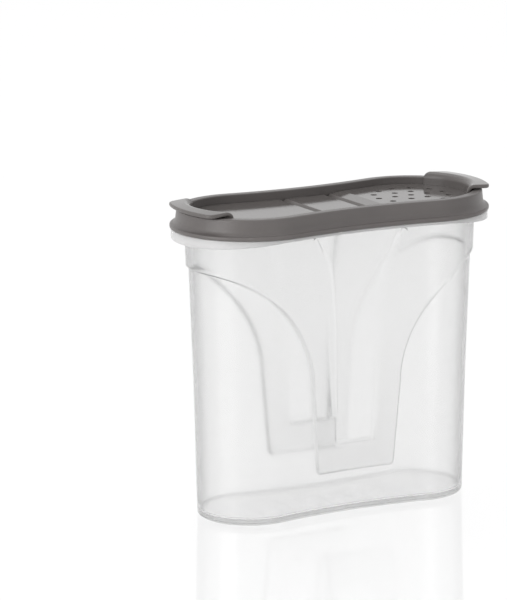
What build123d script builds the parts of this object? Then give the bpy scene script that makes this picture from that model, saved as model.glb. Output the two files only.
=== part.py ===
from build123d import *
import math
import os

# A slim spice jar. A clear jar is closed by a press-in lid, and a strip of three panels lies in
# the tray of that lid: a fixed bridge in the middle and a flap at each end, on thin moulded
# hinges. The left flap opens a round pouring hole, the right one a field of sprinkle holes.
# Millimetres, +Z up, length along X. The origin is under the foot, midway between the ends.

# Plan. Every level has the same outline: two round ends and a drawn-in waist. It is moved in
# or out from the rim line by an offset, and the rim line is where the offset is 0.
RIM_LENGTH = 111.46      # of the rim line, over the round ends
RIM_WIDTH = 46.12        # of the rim line, across a round end
WAIST_DRAW_IN = 2.81     # how much narrower the waist is than the ends, on each side

# Jar
JAR_HEIGHT = 102.0       # foot to the top of the flange, where the lid sits
KNEE_HEIGHT = 45.0       # above it the walls lean out more
FOOT_INSET = 4.65        # wall inside the rim line, at the foot
KNEE_INSET = 3.65        # the same at the knee
MOUTH_INSET = 1.7        # the same at the mouth
WALL = 1.3
FLOOR = 2.1
FOOT_ROUND = 1.4
BAND_STEP = 0.95         # how far the band and its tongue stand out from the walls below
BAND_BOTTOM = 88.7       # height of the band's lower edge at the round ends
TONGUE_BOTTOM = 15.2     # height of the tongue's foot
TONGUE_FOOT_WIDTH = 30.4
TONGUE_NECK_WIDTH = 35.2  # at the knee, where its sides start to flare
TONGUE_CORNER = 1.2
FLARE_RISE = 0.62        # pull of the flare's curve: up at its start
FLARE_RUN = 0.30         # and outwards at its end
WINDOW_BOTTOM = 25.4     # sunk panel in the middle of the tongue
WINDOW_FOOT_WIDTH = 15.6
WINDOW_BEND = 60.0       # height where its sides start to open
WINDOW_BEND_WIDTH = 18.8
WINDOW_TOP_WIDTH = 35.6  # under the flange
WINDOW_CORNER = 0.8
FLANGE_OUT = 3.85        # flange beyond the rim line
FLANGE_PLATE = 1.1
APRON_START = 33.0       # along X to where the apron starts to hang below the plate
APRON_DROP = 3.6         # flange top to the apron's lower edge, at the round ends
APRON_WALL = 1.2
FLANGE_ROUND = 0.4

# Lid frame
LID_RISE = 7.05          # flange top to rim top
BEAD_OUT = 4.26          # bead at the lid's lower edge, beyond the rim line
BEAD_HEIGHT = 1.4
BEAD_ROUND = 0.5
SIDE_OUT = 2.2           # side wall at the foot of its straight part, beyond the rim line
SIDE_DRAFT = 0.35        # how far it leans in towards the top
FLARE_HEIGHT = 2.0       # hollow curve from the bead up to the side wall
RIM_ROUND = 0.75         # outer edge of the rim
TRAY_INSET = 1.5         # tray wall inside the rim line
TRAY_ROUND = 0.4
LID_WALL = 1.3
DECK_RISE = 2.2          # flange top to the deck, the floor of the tray
DECK = 1.3
PAD_RISE = 0.6           # raised pad and hole rim that carry the flaps
SKIRT = 1.1              # plug skirt that presses into the jar's mouth
SKIRT_DROP = 2.4         # flange top to the skirt's lower edge
MOUTH_GAP = 0.3          # skirt to jar wall

# Panel strip
PANEL = 1.3              # thickness of the bridge and the pouring flap
SHAKER_PANEL = 1.8       # thickness of the flap over the sprinkle holes
SHAKER_RAMP = 5.0        # length of the slope up to it, from the bridge's level at the hinge
PANEL_GAP = 0.35         # flaps and bridge to the tray wall
HINGE_SPACING = 18.0     # between the two hinge lines
HINGE_WIDTH = 1.2
HINGE_FILM = 0.4
PEG_RADIUS = 1.5         # pegs that hold the bridge in the deck
PEG_HOLE_GAP = 0.1
PEG_HEAD = 0.5           # how far a peg's head stands out from it
PEG_HEAD_HEIGHT = 1.0
PEG_SPACING_X = 9.0
PEG_SPACING_Y = 20.0

# Finger tabs
TAB_WIDTH = 30.0
TAB_WALL = 1.2
LIP_GAP = 0.65           # rim top to the underside of the lip, where it leaves the tab's wall
LIP = 1.5
LIP_SLOPE = 5.0          # degrees that the lip falls towards its tip
LIP_OUT = 3.3            # tip of the lip beyond the rim line
LIP_RADIUS = 37.0        # the lip's outer edge, seen from above
LIP_CORNER = 3.0
LIP_ROUND = 0.5
TAB_BEND = 2.2           # where the tab's inner face turns out into the lip
TAB_ROOT = 0.8           # hollow side of that bend

# Pouring hole and its plug
POUR_RADIUS = 17.6
POUR_RIM = 1.5
POUR_DEPTH = 2.6         # top of the hole's rim to its lower edge
PLUG_GAP = 0.3
PLUG_WALL = 1.2
PLUG_DROP = 2.5          # underside of the flap to the plug's lower edge

# Sprinkle holes, the pins that shut them and the dimples above the pins
HOLE_RADIUS = 1.2
HOLE_PITCH = 6.55        # between the middle hole and the first ring, and from ring to ring
HOLE_RINGS = 2           # rings of holes around the middle one
RING_HOLES = 6           # holes in the first ring; each further ring has as many more
PAD_EDGE = 2.2           # outermost holes to the edge of the raised pad
PIN_GAP = 0.3
PIN_DROP = 1.2
PIN_TAPER = 0.25         # how much thinner a pin is at its tip
DIMPLE_RADIUS = 1.15
DIMPLE_DEPTH = 0.5

# Worked out from the sizes above
END_RADIUS = RIM_WIDTH / 2
END_X = RIM_LENGTH / 2 - END_RADIUS
WAIST = END_RADIUS - WAIST_DRAW_IN
WAIST_ARC = (END_X ** 2 + WAIST ** 2 - END_RADIUS ** 2) / (2 * WAIST_DRAW_IN)
RIM_TOP = JAR_HEIGHT + LID_RISE
DECK_TOP = JAR_HEIGHT + DECK_RISE
DECK_BOTTOM = DECK_TOP - DECK
PANEL_BOTTOM = DECK_TOP + PAD_RISE
PANEL_TOP = PANEL_BOTTOM + PANEL
SHAKER_TOP = PANEL_BOTTOM + SHAKER_PANEL
PAD_RADIUS = HOLE_RINGS * HOLE_PITCH + HOLE_RADIUS + PAD_EDGE
HINGE_X = HINGE_SPACING / 2
HINGE_TOP = PANEL_BOTTOM + HINGE_FILM
LIP_BOTTOM = RIM_TOP + LIP_GAP
LIP_TOP = LIP_BOTTOM + LIP
SKIRT_BOTTOM = JAR_HEIGHT - SKIRT_DROP
PAST = 5.0               # how far a cutting tool runs past what it cuts
FAR_X = END_X + END_RADIUS + BEAD_OUT + PAST
FAR_Y = END_RADIUS + BEAD_OUT + PAST


def outline(offset):
    """The plan outline, grown by offset: two end arcs and two waist arcs, all tangent."""
    radius = END_RADIUS + offset
    to_waist_centre = math.hypot(END_X, WAIST + WAIST_ARC)
    x = END_X - radius * END_X / to_waist_centre
    y = radius * (WAIST + WAIST_ARC) / to_waist_centre
    waist = WAIST + offset
    edges = [
        ThreePointArc((x, -y), (END_X + radius, 0), (x, y)),
        ThreePointArc((x, y), (0, waist), (-x, y)),
        ThreePointArc((-x, y), (-END_X - radius, 0), (-x, -y)),
        ThreePointArc((-x, -y), (0, -waist), (x, -y)),
    ]
    return make_face(edges)


def prism(offset, bottom, top):
    """A plate with the plan outline."""
    return extrude(Pos(0, 0, bottom) * outline(offset), top - bottom, dir=(0, 0, 1))


def ring(profile):
    """A closed ring with the plan outline. The profile holds (offset, height) points."""
    face = Plane.XZ * profile
    end_turn = math.degrees(math.atan2(WAIST + WAIST_ARC, -END_X))
    waist_turn = math.degrees(math.atan2(END_X, WAIST + WAIST_ARC))
    end = revolve(Rot(0, 0, -end_turn) * Pos(END_RADIUS, 0, 0) * face, Axis.Z, 2 * end_turn)
    end = Pos(END_X, 0, 0) * end
    side = revolve(Rot(0, 0, -waist_turn) * Rot(0, 0, 90) * Pos(-WAIST_ARC, 0, 0) * face,
                   Axis.Z, 2 * waist_turn)
    side = Pos(0, WAIST + WAIST_ARC, 0) * side
    return end + side + mirror(end, Plane.YZ) + mirror(side, Plane.XZ)


def xz_bar(face, half_depth=FAR_Y):
    """A face drawn in (x, height), run through along Y to both sides."""
    return extrude(Plane.XZ * face, half_depth, both=True)


def wall_offset(height):
    """Offset of the jar's plain outer wall at a height: straight to the knee, then steeper."""
    if height < KNEE_HEIGHT:
        return -FOOT_INSET + (FOOT_INSET - KNEE_INSET) * height / KNEE_HEIGHT
    rise = (height - KNEE_HEIGHT) / (JAR_HEIGHT - KNEE_HEIGHT)
    return -KNEE_INSET + (KNEE_INSET - MOUTH_INSET) * rise


def jar_loft(grow, bottom, top):
    """A solid inside the jar's wall surface, moved out by grow."""
    heights = [bottom, KNEE_HEIGHT, top]
    return loft([Pos(0, 0, z) * outline(wall_offset(z) + grow) for z in heights], ruled=True)


def mirrored_face(right_half):
    """A face from the edges of its right half and their mirror image."""
    half = make_face(right_half)
    return half + mirror(half, Plane.YZ)


def band_face():
    """Band and tongue in front view: a straight-sided tongue that flares into the band."""
    foot = TONGUE_FOOT_WIDTH / 2
    neck = TONGUE_NECK_WIDTH / 2
    side = END_X + END_RADIUS
    rise = BAND_BOTTOM - KNEE_HEIGHT
    flare = Bezier((neck, KNEE_HEIGHT), (neck, KNEE_HEIGHT + FLARE_RISE * rise),
                   (side - FLARE_RUN * (side - neck), BAND_BOTTOM), (side, BAND_BOTTOM))
    face = mirrored_face([
        Line((0, TONGUE_BOTTOM), (foot, TONGUE_BOTTOM)),
        Line((foot, TONGUE_BOTTOM), (neck, KNEE_HEIGHT)),
        flare,
        Polyline((side, BAND_BOTTOM), (FAR_X, BAND_BOTTOM), (FAR_X, JAR_HEIGHT),
                 (0, JAR_HEIGHT), (0, TONGUE_BOTTOM)),
    ])
    corners = face.vertices().group_by(Axis.Y)[0].sort_by(Axis.X)
    return fillet([corners[0], corners[-1]], TONGUE_CORNER)


def window_face():
    """The sunk panel in front view. Its sides open out towards the flange."""
    foot = WINDOW_FOOT_WIDTH / 2
    bend = WINDOW_BEND_WIDTH / 2
    top = WINDOW_TOP_WIDTH / 2
    plate = JAR_HEIGHT - FLANGE_PLATE
    reach = plate - WINDOW_BEND
    lean = (bend - foot) / (WINDOW_BEND - WINDOW_BOTTOM)
    face = mirrored_face([
        Line((0, WINDOW_BOTTOM), (foot, WINDOW_BOTTOM)),
        Line((foot, WINDOW_BOTTOM), (bend, WINDOW_BEND)),
        Bezier((bend, WINDOW_BEND), (bend + lean * reach / 2, WINDOW_BEND + reach / 2),
               (bend + lean * reach, plate - reach / 4), (top, plate)),
        Polyline((top, plate), (0, plate), (0, WINDOW_BOTTOM)),
    ])
    corners = face.vertices().group_by(Axis.Y)[0].sort_by(Axis.X)
    return fillet([corners[0], corners[-1]], WINDOW_CORNER)


def flange_profile():
    """Section of the flange plate with an apron that hangs from its edge."""
    inner = -MOUTH_INSET
    apron = FLANGE_OUT - APRON_WALL
    plate = JAR_HEIGHT - FLANGE_PLATE
    bottom = JAR_HEIGHT - APRON_DROP
    points = [(inner, plate), (apron, plate), (apron, bottom), (FLANGE_OUT, bottom),
              (FLANGE_OUT, JAR_HEIGHT), (inner, JAR_HEIGHT)]
    face = make_face(Polyline(*points, close=True))
    outer = face.vertices().group_by(Axis.X)[-1]
    return fillet(outer, FLANGE_ROUND)


def flange():
    """Flange whose apron starts at nothing on the long sides and grows towards the round ends."""
    tip = END_X + END_RADIUS + FLANGE_OUT
    plate = JAR_HEIGHT - FLANGE_PLATE
    low = JAR_HEIGHT - APRON_DROP
    below = make_face(Polyline(
        (-tip, low), (-APRON_START, plate), (APRON_START, plate), (tip, low),
        (tip, low - PAST), (-tip, low - PAST), close=True))
    return ring(flange_profile()) - xz_bar(below)


def jar_body():
    """Clear jar: drafted walls, the raised band with its tongues, flange and cavity."""
    plain = jar_loft(0, 0, JAR_HEIGHT)
    foot_edges = plain.edges().group_by(Axis.Z)[0]
    plain = fillet(foot_edges, FOOT_ROUND)
    raised = jar_loft(BAND_STEP, 0, JAR_HEIGHT) & xz_bar(band_face() - window_face())
    cavity = jar_loft(-WALL, FLOOR, JAR_HEIGHT)
    return plain + raised + flange() - cavity


def lid_profile():
    """Section of the lid's edge: bead, hollow flare, side wall, rim and tray wall.

    The rim is an upturned channel, hollow from below, as a moulding of even wall is.
    """
    seat = JAR_HEIGHT
    bead_top = seat + BEAD_HEIGHT
    side_foot = bead_top + FLARE_HEIGHT
    side_top = SIDE_OUT - SIDE_DRAFT
    core_top = RIM_TOP - LID_WALL
    core_in = -TRAY_INSET + LID_WALL
    core_out = side_top - LID_WALL
    deck_in = -TRAY_INSET - LID_WALL
    lines = [
        Polyline((SIDE_OUT, seat), (BEAD_OUT, seat), (BEAD_OUT, bead_top)),
        ThreePointArc((BEAD_OUT, bead_top), flare_middle(bead_top), (SIDE_OUT, side_foot)),
        Polyline((SIDE_OUT, side_foot), (side_top, RIM_TOP), (-TRAY_INSET, RIM_TOP),
                 (-TRAY_INSET, DECK_TOP), (deck_in, DECK_TOP), (deck_in, DECK_BOTTOM),
                 (core_in, DECK_BOTTOM), (core_in, core_top), (core_out, core_top),
                 (core_out, side_foot), (SIDE_OUT, seat)),
    ]
    face = make_face(lines)
    face = fillet(nearest(face, BEAD_OUT, seat), BEAD_ROUND)
    face = fillet(nearest(face, BEAD_OUT, bead_top), BEAD_ROUND)
    face = fillet(nearest(face, side_top, RIM_TOP), RIM_ROUND)
    return fillet(nearest(face, -TRAY_INSET, RIM_TOP), TRAY_ROUND)


def flare_middle(bead_top):
    """Middle point of the hollow flare, a quarter of an ellipse-like curve."""
    run = BEAD_OUT - SIDE_OUT
    share = 1 - math.sqrt(0.5)
    return (SIDE_OUT + share * run, bead_top + share * FLARE_HEIGHT)


def nearest(shape, x, y):
    """The corner of a face that lies nearest to a point."""
    return shape.vertices().sort_by_distance((x, y, 0))[0]


def sprinkle_points():
    """Centres of the sprinkle holes: one in the middle of the round end, and rings about it."""
    points = [(END_X, 0)]
    for ring_number in range(1, HOLE_RINGS + 1):
        radius = ring_number * HOLE_PITCH
        count = ring_number * RING_HOLES
        for place in range(count):
            angle = 2 * math.pi * place / count
            points.append((END_X + radius * math.cos(angle), radius * math.sin(angle)))
    return points


def posts(points, radius, bottom, top):
    """Round posts, one at each point."""
    post = Pos(0, 0, (bottom + top) / 2) * Cylinder(radius, top - bottom)
    return [Pos(x, y, 0) * post for x, y in points]


def peg_points():
    """Places of the pegs under the bridge."""
    half_x, half_y = PEG_SPACING_X / 2, PEG_SPACING_Y / 2
    return [(x, y) for x in (-half_x, half_x) for y in (-half_y, half_y)]


def disc(x, radius, bottom, top):
    """A round plate centred on the long axis."""
    return Pos(x, 0, (bottom + top) / 2) * Cylinder(radius, top - bottom)


def lid_frame():
    """Lid: channel-section rim, deck, plug skirt, pouring hole and sprinkle holes."""
    deck = prism(-TRAY_INSET - LID_WALL / 2, DECK_BOTTOM, DECK_TOP)
    skirt_out = wall_offset(SKIRT_BOTTOM) - WALL - MOUTH_GAP
    skirt = prism(skirt_out, SKIRT_BOTTOM, DECK_TOP) - prism(skirt_out - SKIRT, 0, DECK_BOTTOM)
    pad = disc(END_X, PAD_RADIUS, DECK_BOTTOM, PANEL_BOTTOM)
    pour_bottom = PANEL_BOTTOM - POUR_DEPTH
    pour_rim = disc(-END_X, POUR_RADIUS + POUR_RIM, pour_bottom, PANEL_BOTTOM)
    body = ring(lid_profile()) + deck + skirt + pad + pour_rim
    body -= disc(-END_X, POUR_RADIUS, SKIRT_BOTTOM, RIM_TOP)
    body -= posts(sprinkle_points(), HOLE_RADIUS, SKIRT_BOTTOM, RIM_TOP)
    return body - posts(peg_points(), PEG_RADIUS + PEG_HOLE_GAP, SKIRT_BOTTOM, RIM_TOP)


def strip(offset_gap, bottom, top):
    """A plate that fills the tray, less a gap to its wall."""
    return prism(-TRAY_INSET - offset_gap, bottom, top)


def centre_bridge():
    """Fixed middle panel, with bevelled hinge sides and headed pegs through the deck."""
    side = HINGE_X - HINGE_WIDTH / 2
    bevel = PANEL_TOP - HINGE_TOP
    face = make_face(Polyline(
        (-side, DECK_TOP), (side, DECK_TOP), (side, HINGE_TOP), (side - bevel, PANEL_TOP),
        (-side + bevel, PANEL_TOP), (-side, HINGE_TOP), close=True))
    body = strip(PANEL_GAP, DECK_TOP, PANEL_TOP) & xz_bar(face)
    body += posts(peg_points(), PEG_RADIUS, DECK_BOTTOM - PEG_HEAD_HEIGHT, DECK_TOP)
    head = Cone(PEG_RADIUS, PEG_RADIUS + PEG_HEAD, PEG_HEAD_HEIGHT)
    head = Pos(0, 0, DECK_BOTTOM - PEG_HEAD_HEIGHT / 2) * head
    return body + [Pos(x, y, 0) * head for x, y in peg_points()]


def hinge_web(x):
    """Thin film that joins the bridge to a flap, centred on the hinge line at x."""
    middle = (PANEL_BOTTOM + HINGE_TOP) / 2
    slot = Pos(x, 0, middle) * Box(HINGE_WIDTH, 2 * FAR_Y, HINGE_FILM)
    return strip(PANEL_GAP, PANEL_BOTTOM, HINGE_TOP) & slot


def flap_panel(top):
    """Flat part of a right flap: a bevel to the bridge's level, and a slope up to its own top."""
    side = HINGE_X + HINGE_WIDTH / 2
    slope = side + PANEL_TOP - HINGE_TOP
    face = make_face(Polyline(
        (side, PANEL_BOTTOM), (FAR_X, PANEL_BOTTOM), (FAR_X, top),
        (slope + SHAKER_RAMP, top), (slope, PANEL_TOP), (side, HINGE_TOP), close=True))
    return strip(PANEL_GAP, PANEL_BOTTOM, top) & xz_bar(face)


def tab_section():
    """Section of a tab in (radius, height): a wall that bends outwards into the falling lip."""
    outer = END_RADIUS - TRAY_INSET - PANEL_GAP
    inner = outer - TAB_WALL
    reach = outer + TAB_WIDTH / 2
    slope = math.tan(math.radians(LIP_SLOPE))
    face = make_face(Polyline(
        (inner, PANEL_BOTTOM), (outer, PANEL_BOTTOM), (outer, LIP_BOTTOM),
        (reach, LIP_BOTTOM - slope * (reach - outer)),
        (reach, LIP_TOP - slope * (reach - inner)), (inner, LIP_TOP), close=True))
    face = fillet(nearest(face, inner, LIP_TOP), TAB_BEND)
    return fillet(nearest(face, outer, LIP_BOTTOM), TAB_ROOT)


def tab_outline():
    """The space that a tab may fill, seen from above, with the lip's curved tip."""
    tip = END_X + END_RADIUS + LIP_OUT
    tip_round = Pos(tip - LIP_RADIUS, 0, 0) * Circle(LIP_RADIUS)
    plan = tip_round & Pos(END_X + FAR_X / 2, 0, 0) * Rectangle(FAR_X, TAB_WIDTH)
    return fillet(plan.vertices().group_by(Axis.X)[-1], LIP_CORNER)


def finger_tab():
    """Tab of the right flap: its section is carried round the end and cut to its outline."""
    bend = revolve(Plane.XZ * tab_section(), Axis.Z, 180)
    bend = Pos(END_X, 0, 0) * Rot(0, 0, -90) * bend
    tab = bend & extrude(tab_outline(), LIP_TOP + PAST)
    tip = tab.faces().sort_by(Axis.X)[-1]
    tip_edges = tip.edges().filter_by(lambda edge: abs((edge % 0.5).Z) < 0.5)
    return fillet(tip_edges, LIP_ROUND)


def pour_flap():
    """Left flap: panel, finger tab and the ring that plugs the pouring hole."""
    flap = mirror(flap_panel(PANEL_TOP) + finger_tab(), Plane.YZ)
    plug = POUR_RADIUS - PLUG_GAP
    bottom = PANEL_BOTTOM - PLUG_DROP
    flap += disc(-END_X, plug, bottom, PANEL_BOTTOM)
    return flap - disc(-END_X, plug - PLUG_WALL, bottom, PANEL_BOTTOM)


def shaker_flap():
    """Right flap: panel, finger tab, tapered pins below and a dimple above each pin."""
    root = HOLE_RADIUS - PIN_GAP
    pin = Pos(0, 0, PANEL_BOTTOM - PIN_DROP / 2) * Cone(root - PIN_TAPER, root, PIN_DROP)
    dimples = posts(sprinkle_points(), DIMPLE_RADIUS, SHAKER_TOP - DIMPLE_DEPTH, RIM_TOP)
    flap = flap_panel(SHAKER_TOP) + finger_tab() - dimples
    return flap + [Pos(x, y, 0) * pin for x, y in sprinkle_points()]


NODES = {
    "jar_body": jar_body(),
    "lid_frame": lid_frame(),
    "centre_bridge": centre_bridge(),
    "pour_hinge_web": hinge_web(-HINGE_X),
    "shaker_hinge_web": hinge_web(HINGE_X),
    "pour_flap": pour_flap(),
    "shaker_flap": shaker_flap(),
}

os.makedirs("parts", exist_ok=True)
for name, solid in NODES.items():
    export_step(solid, "parts/" + name + ".step")
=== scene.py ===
# %% [markdown]
# # A slim spice jar with a grey flip lid
#
# The jar is a clear moulding with a drawn-in waist. Its lid is grey, and a strip of three panels
# lies in the tray of the lid: a fixed bridge and two flaps. This lesson dresses the imported CAD
# model: the jar is made again as a finer surface, the hinge films are made again as thin bars, and
# every piece gets a plastic that is worked out by nodes. Sizes are millimetres until a mesh is
# made.

# %% Load the imported model
import bmesh
import bpy
import numpy as np
from mathutils import Matrix, Vector


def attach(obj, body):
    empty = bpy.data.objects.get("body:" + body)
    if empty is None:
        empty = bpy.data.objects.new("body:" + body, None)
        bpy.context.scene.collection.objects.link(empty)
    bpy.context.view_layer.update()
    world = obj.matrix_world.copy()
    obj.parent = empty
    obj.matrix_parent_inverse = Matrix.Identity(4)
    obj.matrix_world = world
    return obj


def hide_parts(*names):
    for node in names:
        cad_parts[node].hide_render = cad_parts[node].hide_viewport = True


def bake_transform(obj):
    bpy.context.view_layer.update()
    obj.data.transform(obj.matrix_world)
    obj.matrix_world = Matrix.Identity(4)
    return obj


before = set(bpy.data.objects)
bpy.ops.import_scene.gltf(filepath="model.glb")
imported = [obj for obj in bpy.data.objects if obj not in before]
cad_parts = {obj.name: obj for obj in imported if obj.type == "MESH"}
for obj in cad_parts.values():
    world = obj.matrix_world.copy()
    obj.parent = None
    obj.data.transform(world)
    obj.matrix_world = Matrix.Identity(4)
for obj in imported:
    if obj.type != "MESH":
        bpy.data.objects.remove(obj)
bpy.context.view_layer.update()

MM = 0.001

# %% [markdown]
# ## The camera
#
# The photograph was taken with a long lens from the front left, a little above the lid. The
# direction, the distance and the focal length were fitted to its outlines. The camera turns to
# centre the frame and needs no lens shift, so the other views stay centred too.

# %% Camera
AZIMUTH, ELEVATION = np.radians(-30.216), np.radians(13.061)
DISTANCE = 1453.7            # from the point that the fit looks at
LOOK_AT = np.array([0.0, 0.0, 55.0])
FOCAL_PIXELS = 4148.1
CENTRE_PIXEL = (330.81, 348.47)
FRAME_SIZE = (507, 600)
SENSOR = 36.0

back = np.array([np.sin(AZIMUTH) * np.cos(ELEVATION), -np.cos(AZIMUTH) * np.cos(ELEVATION),
                 np.sin(ELEVATION)])
right = np.array([np.cos(AZIMUTH), np.sin(AZIMUTH), 0.0])
up = np.cross(back, right)
pan = (FRAME_SIZE[0] / 2 - CENTRE_PIXEL[0]) / FOCAL_PIXELS
tilt = (CENTRE_PIXEL[1] - FRAME_SIZE[1] / 2) / FOCAL_PIXELS
turned_back = back - pan * right - tilt * up
turned_back /= np.linalg.norm(turned_back)
turned_right = np.cross(up, turned_back)
turned_right /= np.linalg.norm(turned_right)
turned_up = np.cross(turned_back, turned_right)

camera = bpy.data.objects.new("camera", bpy.data.cameras.new("camera"))
bpy.context.scene.collection.objects.link(camera)
matrix = np.eye(4)
matrix[:3, :3] = np.array([turned_right, turned_up, turned_back]).T
matrix[:3, 3] = (LOOK_AT + DISTANCE * back) * MM
camera.matrix_world = Matrix(matrix.tolist())
camera.data.sensor_width = SENSOR
camera.data.lens = FOCAL_PIXELS * SENSOR / max(FRAME_SIZE)
camera.data.clip_start, camera.data.clip_end = 0.05, 50
bpy.context.scene.camera = camera
print("camera at", [round(v, 3) for v in matrix[:3, 3]], "lens", round(camera.data.lens, 1))

# %% [markdown]
# ## One outline for every level
#
# Seen from above, each level of the jar and the lid is the same line moved in or out: two round
# ends and a waist that is drawn in. The line is two kinds of arc that meet without a corner, so a
# point on it and its outward direction follow from the distance along it. That makes every wall a
# function of two numbers, the distance along the line and the height.

# %% The rim line
RIM_LENGTH, RIM_WIDTH, WAIST_DRAW_IN = 111.46, 46.12, 2.81
END_RADIUS = RIM_WIDTH / 2
END_X = RIM_LENGTH / 2 - END_RADIUS
WAIST = END_RADIUS - WAIST_DRAW_IN
WAIST_ARC = (END_X ** 2 + WAIST ** 2 - END_RADIUS ** 2) / (2 * WAIST_DRAW_IN)
JOIN_TURN = np.arctan2(END_X, WAIST + WAIST_ARC)
JOIN = WAIST_ARC * JOIN_TURN
QUARTER = JOIN + END_RADIUS * (np.pi / 2 + JOIN_TURN)


def rim_line(along):
    """Points and outward normals of the rim line, as x, y, nx, ny.

    The distance runs from the middle of the front towards +X. It is folded into one quarter. Up to
    JOIN the point is the waist arc's centre plus its radius at the angle along / radius, and past
    JOIN it is the same on the round end. The signs of the quarter then mirror it.
    """
    along = np.mod(along, 4 * QUARTER)
    folded = QUARTER - np.abs(QUARTER - np.mod(along, 2 * QUARTER))
    mirror_x = np.where(along < 2 * QUARTER, 1.0, -1.0)
    mirror_y = np.where((along > QUARTER) & (along < 3 * QUARTER), -1.0, 1.0)
    waist = np.minimum(folded, JOIN) / WAIST_ARC
    end = -np.pi / 2 - JOIN_TURN + np.maximum(folded - JOIN, 0) / END_RADIUS
    on_waist = folded < JOIN
    nx = np.where(on_waist, -np.sin(waist), np.cos(end))
    ny = np.where(on_waist, -np.cos(waist), np.sin(end))
    x = np.where(on_waist, WAIST_ARC * np.sin(waist), END_X + END_RADIUS * np.cos(end))
    y = np.where(on_waist, WAIST_ARC * np.cos(waist) - WAIST - WAIST_ARC, END_RADIUS * np.sin(end))
    return x * mirror_x, y * mirror_y, nx * mirror_x, ny * mirror_y


def wall(along, height, offset):
    """Points of a wall: the rim line's point plus offset times its outward normal."""
    along, height, offset = np.broadcast_arrays(along, height, offset)
    x, y, nx, ny = rim_line(along)
    return np.stack([x + offset * nx, y + offset * ny, height], axis=-1)


print("rim line, one quarter:", round(QUARTER, 2), "mm, of which the waist", round(JOIN, 2))

# %% [markdown]
# ## From arrays to a mesh
#
# A surface is an array of points with rows and columns. Its faces are found from the numbering of
# the grid alone. Grids that meet share the points of their common edge, so merging by distance
# sews them into one closed skin, and then all faces can be turned outwards together.

# %% Mesh helpers
def grid_faces(rows, columns):
    """Corner numbers of the four-sided faces between the points of a grid."""
    first = np.arange(rows - 1)[:, None] * columns + np.arange(columns - 1)[None, :]
    return np.stack([first, first + 1, first + columns + 1, first + columns], -1).reshape(-1, 4)


def in_four(grid):
    """A quarter's grid and its mirror images across both middle planes."""
    same = np.ones(grid.shape[-1] - 2)
    return [grid * np.array([x, y, *same]) for x in (1, -1) for y in (1, -1)]


def sewn(name, grids, marks=(), close=1e-3):
    """One object from several grids in millimetres, merged at their edges and turned outwards.

    A grid holds x, y and z, and after them one number for each mark. A mark becomes an attribute
    of the mesh, which a material can read.
    """
    points, faces, count = [], [], 0
    for grid in grids:
        faces.append(grid_faces(*grid.shape[:2]) + count)
        points.append(grid.reshape(-1, grid.shape[-1]))
        count += grid.shape[0] * grid.shape[1]
    points = np.concatenate(points)
    mesh = bpy.data.meshes.new(name)
    mesh.from_pydata((points[:, :3] * MM).tolist(), [], np.concatenate(faces).tolist())
    for column, mark in enumerate(marks, 3):
        values = np.ascontiguousarray(points[:, column], np.float32)
        mesh.attributes.new(mark, "FLOAT", "POINT").data.foreach_set("value", values)
    work = bmesh.new()
    work.from_mesh(mesh)
    bmesh.ops.remove_doubles(work, verts=work.verts, dist=close * MM)
    bmesh.ops.dissolve_degenerate(work, edges=work.edges, dist=close * MM / 10)
    bmesh.ops.recalc_face_normals(work, faces=work.faces)
    open_edges = sum(1 for edge in work.edges if not edge.is_manifold)
    work.to_mesh(mesh)
    work.free()
    mesh.polygons.foreach_set("use_smooth", np.ones(len(mesh.polygons), bool))
    piece = bpy.data.objects.new(name, mesh)
    bpy.context.scene.collection.objects.link(piece)
    print(name, len(mesh.polygons), "faces,", open_edges, "open edges")
    return piece

# %% [markdown]
# ## The wall of the jar
#
# A band runs round the top of the jar, and from it a tongue hangs down the front and the back.
# Both stand out by about a millimetre, and a sunk window is cut into each tongue. A plain grid
# would cross these edges at an angle and fray them, so the wall is drawn in patches that end on the
# edges. Each patch is ruled: its rows go straight from one edge line to the other. A narrow strip
# with a soft step joins the patches, and there the plastic bends light into the thin grey lines of
# the photograph. Two marks are kept with the points, so that the plastic can be tinted there: one
# for shade painted along the edges, which draws those lines, and one for all that is raised.

# %% Heights and thicknesses of the jar
JAR_HEIGHT, KNEE_HEIGHT = 102.0, 45.0
FOOT_INSET, KNEE_INSET, MOUTH_INSET = 4.65, 3.65, 1.7
WALL, FLOOR, FOOT_ROUND = 1.3, 2.1, 1.4
BAND_STEP = 0.95
FLANGE_OUT, FLANGE_PLATE, APRON_START, APRON_DROP, APRON_WALL = 3.85, 1.1, 33.0, 3.6, 1.2
APRON_BOTTOM = JAR_HEIGHT - APRON_DROP
PLATE_BOTTOM = JAR_HEIGHT - FLANGE_PLATE


def wall_offset(height):
    """Offset of the plain wall from the rim line: straight to the knee, then steeper."""
    return np.interp(height, [0, KNEE_HEIGHT, JAR_HEIGHT], [-FOOT_INSET, -KNEE_INSET, -MOUTH_INSET])


def bezier(a, b, c, d, count=200):
    """Points of a cubic curve: its four corners weighted by the powers of t and 1 - t."""
    t = np.linspace(0, 1, count)[:, None]
    a, b, c, d = np.array([a, b, c, d], float)
    return a * (1 - t) ** 3 + 3 * b * t * (1 - t) ** 2 + 3 * c * t ** 2 * (1 - t) + d * t ** 3


def turn(before, corner, after, radius, count=24):
    """A rounded corner: a curve from radius before the corner to radius after it."""
    before, corner, after = np.array([before, corner, after], float)
    start = corner + radius * (before - corner) / np.linalg.norm(before - corner)
    stop = corner + radius * (after - corner) / np.linalg.norm(after - corner)
    pull = 0.55              # close to a circle's arc
    first, last = start + pull * (corner - start), stop + pull * (corner - stop)
    return bezier(start, first, last, stop, count)


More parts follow.
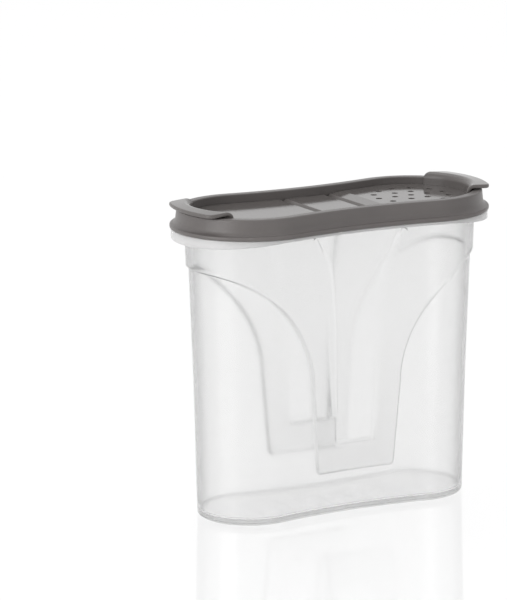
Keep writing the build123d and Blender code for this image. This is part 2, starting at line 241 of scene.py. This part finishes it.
def along_rim(x, height, out):
    """Distance along the rim line of the wall's point at x, seen from the front."""
    offset = wall_offset(height) + out
    on_waist = x < (WAIST_ARC - offset) * np.sin(JOIN_TURN)
    waist = np.arcsin(np.clip(x / (WAIST_ARC - offset), -1, 1))
    end = np.arccos(np.clip((x - END_X) / (END_RADIUS + offset), -1, 1))
    return np.where(on_waist, WAIST_ARC * waist, QUARTER - END_RADIUS * end)


def unrolled(front_view):
    """The same line as (distance along the rim, height), cut off where it reaches the end."""
    line = np.array(front_view)
    line[:, 0] = along_rim(line[:, 0], line[:, 1], BAND_STEP / 2)
    stop = np.flatnonzero(line[:, 0] >= QUARTER - 1e-9)
    return line[:stop[0] + 1] if len(stop) else line


def spread(line, count):
    """The same line with its points at equal distances along it."""
    steps = np.hypot(*np.diff(line, axis=0).T)
    length = np.concatenate([[0], np.cumsum(steps)])
    at = np.linspace(0, length[-1], count + 1)
    return np.stack([np.interp(at, length, line[:, i]) for i in (0, 1)], axis=-1)

# %% [markdown]
# ### Edges of the band and the window
#
# Both edges are drawn in front view, for the right half only. The tongue's side is straight up to
# the knee and then swings out into the band. The window's side opens towards its top, which lies
# just under the flange.

# %% Edges of the band and the window
TONGUE_FOOT, TONGUE_KNEE = np.array([15.2, 15.2]), np.array([17.6, KNEE_HEIGHT])
BAND_BOTTOM = 88.7
WINDOW_FOOT, WINDOW_BEND = (7.8, 25.4), (9.4, 60.0)
WINDOW_TOP, WINDOW_CUT = 100.5, 0.9      # height of its top, and length of side left off below it
TONGUE_CORNER, WINDOW_CORNER, WINDOW_SHOULDER = 1.3, 0.9, 0.8      # roundings

foot_level, tongue_side = TONGUE_FOOT[1], (TONGUE_FOOT + TONGUE_KNEE) / 2
BAND_EDGE = unrolled(np.concatenate([
    [(0, foot_level), (7.0, foot_level)],
    turn((0, foot_level), TONGUE_FOOT, TONGUE_KNEE, TONGUE_CORNER),
    [tongue_side],
    bezier(TONGUE_KNEE, (TONGUE_KNEE[0], 72.1), (44.3, BAND_BOTTOM), (RIM_LENGTH / 2, BAND_BOTTOM)),
]))
window_side = bezier(WINDOW_BEND, (10.35, 80.45), (11.29, 90.68), (17.8, 100.9))
shoulder = (np.interp(WINDOW_TOP, window_side[:, 1], window_side[:, 0]), WINDOW_TOP)
window_side = window_side[window_side[:, 1] < WINDOW_TOP - WINDOW_CUT]
foot_level = WINDOW_FOOT[1]
WINDOW_EDGE = unrolled(np.concatenate([
    [(0, foot_level), (4.0, foot_level)],
    turn((0, foot_level), WINDOW_FOOT, WINDOW_BEND, WINDOW_CORNER),
    window_side,
    turn(window_side[-1], shoulder, (0, WINDOW_TOP), WINDOW_SHOULDER),
    [(8.0, WINDOW_TOP), (0, WINDOW_TOP)],
]))
print("band edge ends at", BAND_EDGE[-1].round(2), "and the window's at", WINDOW_EDGE[-1])

# %% Helpers for the patches
BAND_STEP_HALF = 0.62        # half the width of the soft step at the band's edge
STEP_ROWS = np.linspace(-1, 1, 7)
FOOT_TO_CORNER, CORNER_TO_JOINT, JOINT_TO_END = 20, 60, 48
PLAIN_ROWS, TONGUE_ROWS, WINDOW_ROWS, CUT_ROWS, LOW_ROWS = 48, 12, 10, 12, 6
JOINT_ALONG = 29.0           # here the tongue's patch ends and the band's begins
CORNER_LEVEL = 15.55         # here the band's edge turns up round the tongue's corner
TOP_POINTS = 25              # along the top of the tongue's patch
WINDOW_FOOT_HALF, WINDOW_TOP_HALF = 8.0, 18.5     # lengths along the window's edge, one side
FROST_AND_FOOT_SHADE_LEVELS, FROST_AND_FOOT_SHADE = [20, 70], [1.7, 0.7]        # frosting of the relief, with painted shade added towards the tongues' foot
PAST_JOINT = 6               # points from the joint to the one that faces the window's shoulder


def sideways(line):
    """Unit normals of a line, to its right."""
    ahead = np.gradient(line, axis=0)
    ahead /= np.linalg.norm(ahead, axis=1)[:, None]
    return np.stack([ahead[:, 1], -ahead[:, 0]], axis=-1)


def ruled(first, last, rows):
    """Rows that go straight from one line to another."""
    share = np.linspace(0, 1, rows + 1)[:, None, None]
    return first + (last - first) * share


def marked(points, edge=0.0, raised=0.0):
    """The same grid with its two marks after x, y and z."""
    marks = np.broadcast_arrays(points[..., 0], edge, raised)[1:]
    return np.concatenate([points, np.stack(marks, axis=-1)], axis=-1)


def on_wall(flat, out, edge=0.0):
    """A flat grid of (distance along, height), put on the wall, moved out and marked."""
    points = wall(flat[..., 0], flat[..., 1], wall_offset(flat[..., 1]) + out)
    # The raised mark is the relief's frosting, with painted shade that grows towards the foot.
    frost_and_foot_shade = np.interp(flat[..., 1], FROST_AND_FOOT_SHADE_LEVELS, FROST_AND_FOOT_SHADE)
    return marked(points, edge, frost_and_foot_shade * out / BAND_STEP)


def step_strip(line, inward, half):
    """Seven rows across an edge. The wall rises by half a sine wave from low to high.

    The strip is as wide as half says, for each point of the edge, to both sides.
    """
    shift = STEP_ROWS[:, None, None] * np.broadcast_to(half, len(line))[:, None] * inward
    rise = BAND_STEP * (0.5 + 0.5 * np.sin(STEP_ROWS * np.pi / 2))
    return line + shift, rise[:, None]

# %% [markdown]
# ### Patches of the wall
#
# The band's edge gets evenly spaced points between its foot, its corner, the joint and the jar's
# end. Below and beside it lies the plain wall, and above it the band. Neighbouring patches share
# the points of their common line, so they can be sewn.

# %% Plain wall and band
corner = int(np.argmin(np.abs(BAND_EDGE[:, 1] - CORNER_LEVEL)))
joint = int(np.argmax(BAND_EDGE[:, 0] > JOINT_ALONG))
band_edge = np.concatenate([
    spread(BAND_EDGE[:corner + 1], FOOT_TO_CORNER)[:-1],
    spread(BAND_EDGE[corner:joint + 1], CORNER_TO_JOINT)[:-1],
    spread(BAND_EDGE[joint:], JOINT_TO_END)])
corner, joint = FOOT_TO_CORNER, FOOT_TO_CORNER + CORNER_TO_JOINT
band_flat, band_rise = step_strip(band_edge, -sideways(band_edge), BAND_STEP_HALF)
band_flat[:, -1, 0] = QUARTER
band_flat[:, 0, 0] = 0
plain_line, raised_line = band_flat[0], band_flat[-1]

# Right of the tongue each row goes level from the band's edge to the jar's end.
end_line = np.stack([np.full(len(plain_line), QUARTER), plain_line[:, 1]], axis=-1)
plain_flat = ruled(plain_line[corner:], end_line[corner:], PLAIN_ROWS)
low_top = np.concatenate([plain_line[:corner], plain_flat[:, 0]])
low_foot = np.stack([low_top[:, 0], np.full(len(low_top), FOOT_ROUND)], axis=-1)
low_flat = ruled(low_foot, low_top, LOW_ROWS)

# The band above its edge, between the joint and the jar's end, goes straight up.
band_top = np.stack([raised_line[joint:, 0], np.full(JOINT_TO_END + 1, PLATE_BOTTOM)], axis=-1)
band_patch = ruled(raised_line[joint:], band_top, CUT_ROWS)

# %% [markdown]
# ### Tongue and window
#
# The tongue goes round its window: up the band's edge, up the joint, and back along the top. The
# window's edge gets as many points, so that straight rows fill the space between them.

# %% Tongue and window
# Half the width of the window's step: plain at its foot, softer at the sides, thin at the top.
SOFT_LEVELS = [27, 38, 60, 91, WINDOW_TOP - 0.3]
SOFT_HALF = [0.85, 1.5, 2.2, 2.0, 0.2]
BAND_LINE_SHADE_LEVELS, BAND_LINE_SHADE = [16.5, 20.0], [1.5, 1]          # painted shade line, darkest at the tongue's foot
WINDOW_LINE_SHADE_LEVELS, WINDOW_LINE_SHADE = [26.0, 29.0], [1, 0.1]      # painted shade line, at the window's foot only

top_back = np.linspace(band_top[0], [0, PLATE_BOTTOM], TOP_POINTS)
around = np.concatenate([raised_line[:joint], band_patch[:, 0], top_back[1:]])
share = np.linspace(0, 1, len(around))
window_length = np.concatenate([[0], np.cumsum(np.hypot(*np.diff(WINDOW_EDGE, axis=0).T))])
share_at = [0, FOOT_TO_CORNER / len(around), (joint + PAST_JOINT) / len(around), 1]
length_at = [0, WINDOW_FOOT_HALF, window_length[-1] - WINDOW_TOP_HALF, window_length[-1]]
at = np.interp(share, share_at, length_at)
window_edge = np.stack([np.interp(at, window_length, WINDOW_EDGE[:, i]) for i in (0, 1)], axis=-1)
window_half = np.interp(window_edge[:, 1], SOFT_LEVELS, SOFT_HALF)
window_flat, window_rise = step_strip(window_edge, sideways(window_edge), window_half)
window_flat[:, [0, -1], 0] = 0
tongue_flat = ruled(around, window_flat[-1], TONGUE_ROWS)
middle = np.linspace(window_flat[0, 0], window_flat[0, -1], len(around))
glass_flat = ruled(window_flat[0], middle, WINDOW_ROWS)

# Painted shade along the relief's edges: strongest on the edge line, fading across the step.
shade_across_step = np.cos(STEP_ROWS * np.pi / 2)[:, None] ** 2
band_line_shade = np.interp(band_edge[:, 1], BAND_LINE_SHADE_LEVELS, BAND_LINE_SHADE)
window_line_shade = np.interp(window_edge[:, 1], WINDOW_LINE_SHADE_LEVELS, WINDOW_LINE_SHADE)
wall_patches = [
    on_wall(low_flat, 0), on_wall(plain_flat, 0),
    on_wall(band_flat, band_rise, band_line_shade * shade_across_step),
    on_wall(band_patch, BAND_STEP), on_wall(tongue_flat, BAND_STEP),
    on_wall(window_flat, window_rise, window_line_shade * shade_across_step), on_wall(glass_flat, 0)]
print("patches:", [grid.shape[:2] for grid in wall_patches])

# %% [markdown]
# ## Foot, flange and inside of the jar
#
# The rest of the jar is the same at every place round it, so it is a profile of offsets and
# heights carried along the rim line. The flat foot and the floor inside are closed by rows that go
# straight across, from the front of the loop to its back. The flange is thick where it turns down
# into its apron, and looks white rather than clear, so it is a ring of its own round the mouth.

# %% Helpers for swept parts
def loop_of(quarter):
    """All round the rim line, from one quarter's distances."""
    half = np.concatenate([quarter, 2 * QUARTER - quarter[-2::-1]])
    return np.concatenate([half, 2 * QUARTER + half[1:]])


def carried(profile, quarter):
    """A profile of (offset, height) points, carried along the rim line."""
    profile = np.array(profile, float)
    return wall(loop_of(quarter)[None, :], profile[:, 1, None], profile[:, 0, None])


def spread_along(count):
    """Distances along a quarter of the rim line, as many steps as count."""
    return np.linspace(0, QUARTER, count + 1)


def across(offset, height, quarter, rows=24):
    """A flat plate: rows from the front half of a loop straight to its back half."""
    front = np.concatenate([-quarter[:0:-1], quarter])
    edge = wall(front, height, offset)
    far = edge * np.array([1, -1, 1])
    return ruled(edge, far, rows)


def arc(centre, radius, start, stop, count=7):
    """Points of a profile's rounding, from one angle in degrees to another."""
    angle = np.radians(np.linspace(start, stop, count))
    return np.stack([centre[0] + radius * np.cos(angle), centre[1] + radius * np.sin(angle)], -1)

# %% Profiles of the jar
MOUTH_ROUND, FLOOR_ROUND = 0.4, 1.0
INSIDE_TOP = JAR_HEIGHT - 0.5            # the inner wall's rows begin here
FOOT_POINTS, HIGH_POINTS, LOW_POINTS = 13, 9, 7       # the last two are above and below the knee

foot_side = wall_offset(FOOT_ROUND)
foot_profile = arc((foot_side - FOOT_ROUND, FOOT_ROUND), FOOT_ROUND, 0, -90, FOOT_POINTS)
inside_mouth = wall_offset(JAR_HEIGHT) - WALL
inner_heights = np.concatenate([
    np.linspace(INSIDE_TOP, KNEE_HEIGHT, HIGH_POINTS),
    np.linspace(KNEE_HEIGHT, FLOOR + FLOOR_ROUND, LOW_POINTS)[1:]])
floor_side = wall_offset(FLOOR + FLOOR_ROUND) - WALL
outside_mouth = wall_offset(JAR_HEIGHT) + BAND_STEP
upper_profile = np.concatenate([
    [(wall_offset(PLATE_BOTTOM) + BAND_STEP, PLATE_BOTTOM)],
    [(outside_mouth, JAR_HEIGHT - MOUTH_ROUND / 2), (outside_mouth, JAR_HEIGHT)],
    arc((inside_mouth + MOUTH_ROUND, JAR_HEIGHT - MOUTH_ROUND), MOUTH_ROUND, 90, 180, 5),
    np.stack([wall_offset(inner_heights) - WALL, inner_heights], axis=-1),
    arc((floor_side - FLOOR_ROUND, FLOOR + FLOOR_ROUND), FLOOR_ROUND, 0, -90)[1:]])
print("profiles:", len(foot_profile), "points at the foot and", len(upper_profile), "above it")

# %% [markdown]
# ### Painted lines and light at the foot and the floor
#
# The photograph shows a grey line round the floor inside and one where the foot meets the ground,
# with a paler stretch between them. So the edge mark paints shade high on the floor's rounding and,
# above zero, where the foot's rounding meets the ground; below zero, further up on it, it paints
# light. It is below zero on the floor too, as painted light, which the slant's painted shade alone
# would make too dark.

# %% The clear jar
# Painted shade and painted light of the foot and floor lines: above zero darkens, below zero
# lightens.
FLOOR_PAINTED_LIGHT = -1.55
foot_shade_and_light = np.array([0, 0.2, -0.4, -2, -3, -3, -2, -1, 0.3, 0.6, 0.6, 0.6, 0.6])[:, None]
floor_rim_shade = np.zeros((len(upper_profile), 1))
# A painted shade line high on the floor's rounding inside.
floor_rim_shade[-6:-1, 0] = [1.5, 4.5, 4.5, 2.5, 0.5]
foot_along, top_along = low_foot[:, 0], np.concatenate([top_back[::-1, 0], band_top[1:, 0]])
grids = [mirrored for patch in wall_patches for mirrored in in_four(patch)]
grids += [marked(carried(foot_profile, foot_along), foot_shade_and_light),
          marked(carried(upper_profile, top_along), floor_rim_shade),
          marked(across(foot_profile[-1, 0], 0, foot_along)),
          marked(across(upper_profile[-1, 0], FLOOR, top_along), FLOOR_PAINTED_LIGHT)]
clear_jar = sewn("clear_jar", grids, ("edge", "raised"))
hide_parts("jar_body")
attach(clear_jar, "jar")

# %% The flange
FLANGE_ROUND, APRON_ROUND, ROOT_ROUND, SEAM = 0.45, 0.25, 0.3, 0.01
FLANGE_STEPS = 64            # along a quarter of the rim line
apron = FLANGE_OUT - APRON_WALL


def apron_level(x):
    """Height of the apron's lower edge. In front view it slopes from the plate to the tips."""
    tip = END_X + END_RADIUS + FLANGE_OUT
    hang = np.clip((np.abs(x) - APRON_START) / (tip - APRON_START), 0, 1)
    return PLATE_BOTTOM - hang * (PLATE_BOTTOM - APRON_BOTTOM)


def flange_grid(quarter):
    """Skin of the flange: out under its plate, round the apron, and back over the top.

    The section is drawn with its apron at full length. The points round the lower edge then move
    up to the edge's height at their place, and those on the inside stop at the plate.
    """
    inner = outside_mouth + SEAM
    parts = [
        [(inner, PLATE_BOTTOM)],
        arc((apron - ROOT_ROUND, PLATE_BOTTOM - ROOT_ROUND), ROOT_ROUND, 90, 0, 4),
        arc((apron + APRON_ROUND, APRON_BOTTOM + APRON_ROUND), APRON_ROUND, 180, 270, 5),
        arc((FLANGE_OUT - APRON_ROUND, APRON_BOTTOM + APRON_ROUND), APRON_ROUND, -90, 0, 5),
        arc((FLANGE_OUT - FLANGE_ROUND, JAR_HEIGHT - FLANGE_ROUND), FLANGE_ROUND, 0, 90),
        [(inner, JAR_HEIGHT), (inner, PLATE_BOTTOM)]]
    grid = carried(np.concatenate(parts), quarter)
    level = apron_level(grid[..., 0])
    part = np.repeat(np.arange(len(parts)), [len(points) for points in parts])[:, None]
    height = grid[..., 2] + np.where((part == 2) | (part == 3), level - APRON_BOTTOM, 0)
    grid[..., 2] = np.clip(height, level, np.where(part < 3, PLATE_BOTTOM, JAR_HEIGHT))
    return grid


jar_flange = sewn("jar_flange", [flange_grid(spread_along(FLANGE_STEPS))])
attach(jar_flange, "jar")

# %% [markdown]
# ## Hinge films
#
# Each flap hangs on a film of the same plastic, thin enough to bend. In the model it is a rigid
# strip, so here it is a small bar with enough rows across to roll up smoothly.

# %% Hinge films
HINGE_X, HINGE_WIDTH, FILM_BOTTOM, FILM = 9.0, 1.2, 104.8, 0.4
TRAY_INSET, PANEL_GAP = 1.5, 0.35
FILM_STEPS, FILM_ROWS = 33, 25           # points round its section, and rows along it
FILM_WAIST = 0.72                        # thickness in the middle of the hinge, of its whole
FILM_SQUARE = 0.35                       # below 1 the section is squarer than an ellipse


def hinge_film(name, side):
    """A closed bar: its section is a thin loop that is waisted in the middle of the hinge."""
    turn_at = np.linspace(0, 2 * np.pi, FILM_STEPS)
    x = side * HINGE_X + np.cos(turn_at) * HINGE_WIDTH / 2
    thin = FILM_WAIST + (1 - FILM_WAIST) * np.cos(turn_at) ** 2
    rise = np.sin(turn_at)
    half = np.sign(rise) * np.abs(rise) ** FILM_SQUARE * thin * FILM / 2
    z = FILM_BOTTOM + FILM / 2 + half
    reach = -wall(along_flat(x), 0, -TRAY_INSET - PANEL_GAP)[:, 1]
    share = np.linspace(-1, 1, FILM_ROWS)[:, None]
    bar = np.stack(np.broadcast_arrays(x, share * reach, z), axis=-1)
    caps = [np.stack([end, np.broadcast_to(end.mean(axis=0), end.shape)]) for end in bar[[0, -1]]]
    return sewn(name, [bar] + caps)


def along_flat(x):
    """Distance along the rim line of the tray wall's point at x."""
    return np.sign(x) * WAIST_ARC * np.arcsin(np.abs(x) / (WAIST_ARC + TRAY_INSET + PANEL_GAP))


for name, cover, side in (("pour_hinge", "pour_cover", -1), ("shaker_hinge", "shaker_cover", 1)):
    film = hinge_film(name + "_film", side)
    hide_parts(name + "_web")
    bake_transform(film)

# %% [markdown]
# ## Shared effects
#
# Moulded plastic is never quite even: it has a fine grain, slow clouds where it cooled, and a few
# light scratches. The grain and the clouds come from one node group, so each material can ask for
# its own amount; the scratches are not drawn.

# %% Node groups
GRAIN_NOISE, CLOUD_NOISE = (2600.0, 2.0), (38.0, 3.0)    # scale and detail


def node_group(name, inputs, outputs):
    """An empty shader group with named sockets, and its input and output nodes."""
    group = bpy.data.node_groups.new(name, "ShaderNodeTree")
    for socket, default in inputs:
        made = group.interface.new_socket(socket, in_out="INPUT", socket_type="NodeSocketFloat")
        made.default_value = default
    for socket in outputs:
        group.interface.new_socket(socket, in_out="OUTPUT", socket_type="NodeSocketFloat")
    return group, group.nodes.new("NodeGroupInput"), group.nodes.new("NodeGroupOutput")


def maths(tree, operation, first, second):
    """A Math node. Each side is a number or a socket."""
    node = tree.nodes.new("ShaderNodeMath")
    node.operation = operation
    for socket, value in zip(node.inputs, (first, second)):
        if isinstance(value, (int, float)):
            socket.default_value = value
        else:
            tree.links.new(value, socket)
    return node.outputs[0]


def moulding_group():
    """Grain is fine noise, clouds are slow noise. Height and roughness come from both."""
    group, given, put = node_group("moulded_grain", [("Grain", 1.0), ("Clouds", 1.0)],
                                   ["Height", "Cloud", "Grain"])
    place = group.nodes.new("ShaderNodeTexCoord")
    noises = []
    for scale, detail in (GRAIN_NOISE, CLOUD_NOISE):
        noise = group.nodes.new("ShaderNodeTexNoise")
        noise.inputs["Scale"].default_value = scale
        noise.inputs["Detail"].default_value = detail
        group.links.new(place.outputs["Object"], noise.inputs["Vector"])
        noises.append(noise.outputs["Fac"])
    grain = maths(group, "MULTIPLY", noises[0], given.outputs["Grain"])
    cloud = maths(group, "MULTIPLY", noises[1], given.outputs["Clouds"])
    group.links.new(maths(group, "ADD", grain, cloud), put.inputs["Height"])
    group.links.new(noises[1], put.inputs["Cloud"])
    group.links.new(noises[0], put.inputs["Grain"])
    return group


MOULDING = moulding_group()
print("group", MOULDING.name)

# %% [markdown]
# ## Grey plastic
#
# Lid and flaps are a warm grey with a satin gloss. The flat tops of the strip are polished and
# mirror the white room at a low angle, which is why they look so much lighter than the sides.

# %% Helpers for materials
NOISE_LOW, NOISE_HIGH = 0.25, 0.75       # where most values of a noise lie
BUMP_DEPTH = 0.0002


def new_material(name):
    """An empty node material with its Principled shader and output."""
    material = bpy.data.materials.new(name)
    material.use_nodes = True
    tree = material.node_tree
    return material, tree, tree.nodes["Principled BSDF"]


def ranged(tree, value, low, high):
    """A noise's value, stretched between two limits."""
    node = tree.nodes.new("ShaderNodeMapRange")
    tree.links.new(value, node.inputs["Value"])
    node.inputs["From Min"].default_value = NOISE_LOW
    node.inputs["From Max"].default_value = NOISE_HIGH
    node.inputs["To Min"].default_value, node.inputs["To Max"].default_value = low, high
    return node.outputs["Result"]


def grained(tree, shader, grain, clouds, bumpy):
    """A node of the shared group, with its faint bump put on the shader."""
    effect = tree.nodes.new("ShaderNodeGroup")
    effect.node_tree = MOULDING
    effect.inputs["Grain"].default_value, effect.inputs["Clouds"].default_value = grain, clouds
    bump = tree.nodes.new("ShaderNodeBump")
    bump.inputs["Strength"].default_value, bump.inputs["Distance"].default_value = bumpy, BUMP_DEPTH
    tree.links.new(effect.outputs["Height"], bump.inputs["Height"])
    tree.links.new(bump.outputs["Normal"], shader.inputs["Normal"])
    return effect

# %% Grey materials
FLATNESS = 8.0               # how fast the polish ends where a face turns away from level
GREY_IOR, GREY_GRAIN, GREY_CLOUDS, GREY_BUMP = 1.5, 0.6, 0.4, 0.05


def polished_flats(tree, rough, side_rough):
    """Roughness that is low on flat tops and undersides and higher on all that stands up."""
    place = tree.nodes.new("ShaderNodeTexCoord")
    parts = tree.nodes.new("ShaderNodeSeparateXYZ")
    tree.links.new(place.outputs["Normal"], parts.inputs["Vector"])
    flat = maths(tree, "POWER", maths(tree, "ABSOLUTE", parts.outputs["Z"], 0), FLATNESS)
    extra = maths(tree, "MULTIPLY", maths(tree, "SUBTRACT", 1.0, flat), side_rough)
    return maths(tree, "ADD", rough, extra)


def grey_plastic(name, dark, light, rough, side_rough=0.0):
    """Colour drifts between two greys with the clouds, and roughness with the grain."""
    material, tree, shader = new_material(name)
    effect = grained(tree, shader, GREY_GRAIN, GREY_CLOUDS, GREY_BUMP)
    mix = tree.nodes.new("ShaderNodeMix")
    mix.data_type = "RGBA"
    mix.inputs["A"].default_value, mix.inputs["B"].default_value = (*dark, 1), (*light, 1)
    tree.links.new(ranged(tree, effect.outputs["Cloud"], 0.0, 1.0), mix.inputs["Factor"])
    tree.links.new(mix.outputs["Result"], shader.inputs["Base Color"])
    satin = polished_flats(tree, ranged(tree, effect.outputs["Grain"], *rough), side_rough)
    tree.links.new(satin, shader.inputs["Roughness"])
    shader.inputs["IOR"].default_value = GREY_IOR
    return material


grey_lid = grey_plastic("grey_lid_plastic", (0.112, 0.101, 0.098), (0.146, 0.133, 0.128),
                        (0.34, 0.44))
grey_strip = grey_plastic("grey_strip_plastic", (0.120, 0.109, 0.105), (0.142, 0.129, 0.124),
                          (0.08, 0.12), side_rough=0.28)

# %% Lid, bridge, flaps and films
def dress(piece, material):
    """Gives a piece one material."""
    piece.data.materials.clear()
    piece.data.materials.append(material)


dress(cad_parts["lid_frame"], grey_lid)
for name in ("centre_bridge", "pour_flap", "shaker_flap"):
    dress(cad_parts[name], grey_strip)
for name in ("pour_hinge_film", "shaker_hinge_film"):
    dress(bpy.data.objects[name], grey_strip)

# %% [markdown]
# ## Clear plastic
#
# The jar is clear but a little milky. It bends light like any plastic, and its thickness takes
# some light away. A wall loses more where the eye looks along it, and there the colour is darkened
# too, as painted shade that draws both outlines. The raised band and tongues are more frosted, and
# every edge shows as a thin grey line, so the two marks of the mesh darken the colour there: the
# edge mark is painted shade, and painted light where it is below zero, and the frost mark has
# painted shade towards the tongues' foot. Lamps shine through, so the inside isn't dark.

# %% Clear material
EDGE_LINE_SHADE, RAISED_TINT = 0.12, 0.09      # share of light taken away: painted shade of the edge lines, and the relief's frosting
SLANT_SHADE, SLANT_LIMIT, SLANT_POWER = 1.95, 0.62, 4.0      # painted shade where a wall is seen edge-on, drawing the outlines
CLEAR_LEVEL, CLEAR_IOR, CLEAR_SHARE = 0.945, 1.46, 0.96     # grey, bending, and how clear it is
CLEAR_GRAIN, CLEAR_CLOUDS, CLEAR_BUMP = 0.5, 0.5, 0.02
DEEP_GREY, DEEP_DENSITY = 0.80, 12.0     # light that the thickness takes away


def mark_tint(tree, clear_level):
    """A grey level: the clear one, less each mark and the slant, times its tint.

    The slant and the edge mark are painted shade, and the edge mark is painted light below zero.
    The raised mark is frosting, with painted shade added towards the tongues' foot.
    """
    # Painted shade: the colour darkens where a wall is seen edge-on, drawing the outlines.
    slant = tree.nodes.new("ShaderNodeLayerWeight")
    slant.inputs["Blend"].default_value = 0.5
    steep = maths(tree, "MINIMUM", slant.outputs["Facing"], SLANT_LIMIT)
    taken = [(maths(tree, "POWER", steep, SLANT_POWER), SLANT_SHADE)]
    # The edge mark is painted shade above zero and painted light below zero; the raised mark is
    # frosting with painted shade towards the tongues' foot.
    for mark, tint in (("edge", EDGE_LINE_SHADE), ("raised", RAISED_TINT)):
        read = tree.nodes.new("ShaderNodeAttribute")
        read.attribute_name = mark
        taken.append((read.outputs["Fac"], tint))
    level = clear_level
    for share, tint in taken:
        level = maths(tree, "SUBTRACT", level, maths(tree, "MULTIPLY", share, tint))
    return level


def lit_through(tree, shader, share):
    """Lets lamps shine through: for shadow rays the surface is transparent by a share."""
    through = tree.nodes.new("ShaderNodeBsdfTransparent")
    through.inputs["Color"].default_value = (share, share, share, 1)
    path = tree.nodes.new("ShaderNodeLightPath")
    choose = tree.nodes.new("ShaderNodeMixShader")
    tree.links.new(path.outputs["Is Shadow Ray"], choose.inputs["Fac"])
    tree.links.new(shader.outputs["BSDF"], choose.inputs[1])
    tree.links.new(through.outputs["BSDF"], choose.inputs[2])
    tree.links.new(choose.outputs["Shader"], tree.nodes["Material Output"].inputs["Surface"])


def jar_plastic(name, rough, transmission, lamp_share):
    """Jar's plastic. Its roughness drifts with the clouds, and lamps shine through by a share."""
    material, tree, shader = new_material(name)
    effect = grained(tree, shader, CLEAR_GRAIN, CLEAR_CLOUDS, CLEAR_BUMP)
    tree.links.new(ranged(tree, effect.outputs["Cloud"], *rough), shader.inputs["Roughness"])
    shader.inputs["IOR"].default_value = CLEAR_IOR
    shader.inputs["Transmission Weight"].default_value = transmission
    lit_through(tree, shader, lamp_share)
    return material, tree, shader


clear, tree, shader = jar_plastic("clear_jar_plastic", (0.13, 0.17), CLEAR_SHARE, 0.90)
tree.links.new(mark_tint(tree, CLEAR_LEVEL), shader.inputs["Base Color"])
absorb = tree.nodes.new("ShaderNodeVolumeAbsorption")
absorb.inputs["Color"].default_value = (DEEP_GREY, DEEP_GREY, DEEP_GREY, 1)
absorb.inputs["Density"].default_value = DEEP_DENSITY
tree.links.new(absorb.outputs["Volume"], tree.nodes["Material Output"].inputs["Volume"])
dress(clear_jar, clear)

# %% Flange material
FLANGE_WHITE, FLANGE_CLEAR = (0.76, 0.755, 0.755, 1), 0.30

milky, tree, shader = jar_plastic("milky_flange_plastic", (0.16, 0.24), FLANGE_CLEAR, 0.7)
shader.inputs["Base Color"].default_value = FLANGE_WHITE
dress(jar_flange, milky)

# %% [markdown]
# ## The white studio
#
# The photograph has a pure white ground with a trace of shadow and a faint mirror image of the
# jar. The room is white wherever the camera, a mirror or the clear plastic looks at it, and dimmer
# where it only lights the object, so that greys stay as they are written. For those looks the
# floor glows too, though not so much that the shadow goes, and its polish shows a mirror image.

# %% The white room
def add_any(tree, sockets):
    """1 if any of the rays' sockets is 1."""
    total = sockets[0]
    for socket in sockets[1:]:
        total = maths(tree, "MAXIMUM", total, socket)
    return total


def seen_directly(tree):
    """1 for rays of the camera, of mirrors and through clear plastic."""
    path = tree.nodes.new("ShaderNodeLightPath")
    return add_any(tree, [path.outputs["Is " + kind + " Ray"]
                          for kind in ("Camera", "Glossy", "Transmission")])


AMBIENT = 0.55               # the room's light on the object, against what is seen directly
world = bpy.data.worlds.new("white_room")
bpy.context.scene.world = world
world.use_nodes = True
tree = world.node_tree
white = tree.nodes["Background"]
white.inputs["Color"].default_value = (1, 1, 1, 1)
level = maths(tree, "ADD", AMBIENT, maths(tree, "MULTIPLY", seen_directly(tree), 1 - AMBIENT))
tree.links.new(level, white.inputs["Strength"])

# %% The floor
FLOOR_GLOW = 0.80            # share of the glow, against the floor's own shaded white
GLOW_STRENGTH, FLOOR_ROUGH, FLOOR_POLISH = 1.07, 0.5, 0.04
FLOOR_HALF = 6               # in metres

corners = [(x * FLOOR_HALF, y * FLOOR_HALF, 0) for x, y in ((-1, -1), (1, -1), (1, 1), (-1, 1))]
floor_mesh = bpy.data.meshes.new("floor")
floor_mesh.from_pydata(corners, [], [(0, 1, 2, 3)])
floor = bpy.data.objects.new("floor", floor_mesh)
bpy.context.scene.collection.objects.link(floor)
pale, tree, shader = new_material("pale_floor")
shader.inputs["Base Color"].default_value = (0.95, 0.95, 0.955, 1)
shader.inputs["Roughness"].default_value = FLOOR_ROUGH
glow = tree.nodes.new("ShaderNodeEmission")
glow.inputs["Strength"].default_value = GLOW_STRENGTH
polish = tree.nodes.new("ShaderNodeBsdfGlossy")
polish.inputs["Color"].default_value = (1, 1, 1, 1)
polish.inputs["Roughness"].default_value = FLOOR_POLISH
facing = tree.nodes.new("ShaderNodeFresnel")
lit, top = [tree.nodes.new("ShaderNodeMixShader") for _ in range(2)]
tree.links.new(maths(tree, "MULTIPLY", seen_directly(tree), FLOOR_GLOW), lit.inputs["Fac"])
tree.links.new(shader.outputs["BSDF"], lit.inputs[1])
tree.links.new(glow.outputs["Emission"], lit.inputs[2])
tree.links.new(facing.outputs["Fac"], top.inputs["Fac"])
tree.links.new(lit.outputs["Shader"], top.inputs[1])
tree.links.new(polish.outputs["BSDF"], top.inputs[2])
tree.links.new(top.outputs["Shader"], tree.nodes["Material Output"].inputs["Surface"])
dress(floor, pale)

# %% Lamps
def soft_box(name, place, aim, size, watts):
    """A square lamp that faces a point."""
    lamp = bpy.data.objects.new(name, bpy.data.lights.new(name, "AREA"))
    lamp.data.size, lamp.data.energy = size, watts
    toward = Vector(aim) - Vector(place)
    lamp.location = place
    lamp.rotation_euler = toward.to_track_quat("-Z", "Y").to_euler()
    bpy.context.scene.collection.objects.link(lamp)
    return lamp


soft_box("top_light", (0.1, 0.5, 1.5), (0, 0, 0.1), 1.2, 5.0)
soft_box("left_light", (-1.5, -0.35, 0.5), (0, 0, 0.06), 1.1, 11.0)
soft_box("front_light", (0.5, -1.5, 0.5), (0, 0, 0.06), 0.9, 1.0)
bpy.context.scene.view_settings.view_transform = "Standard"
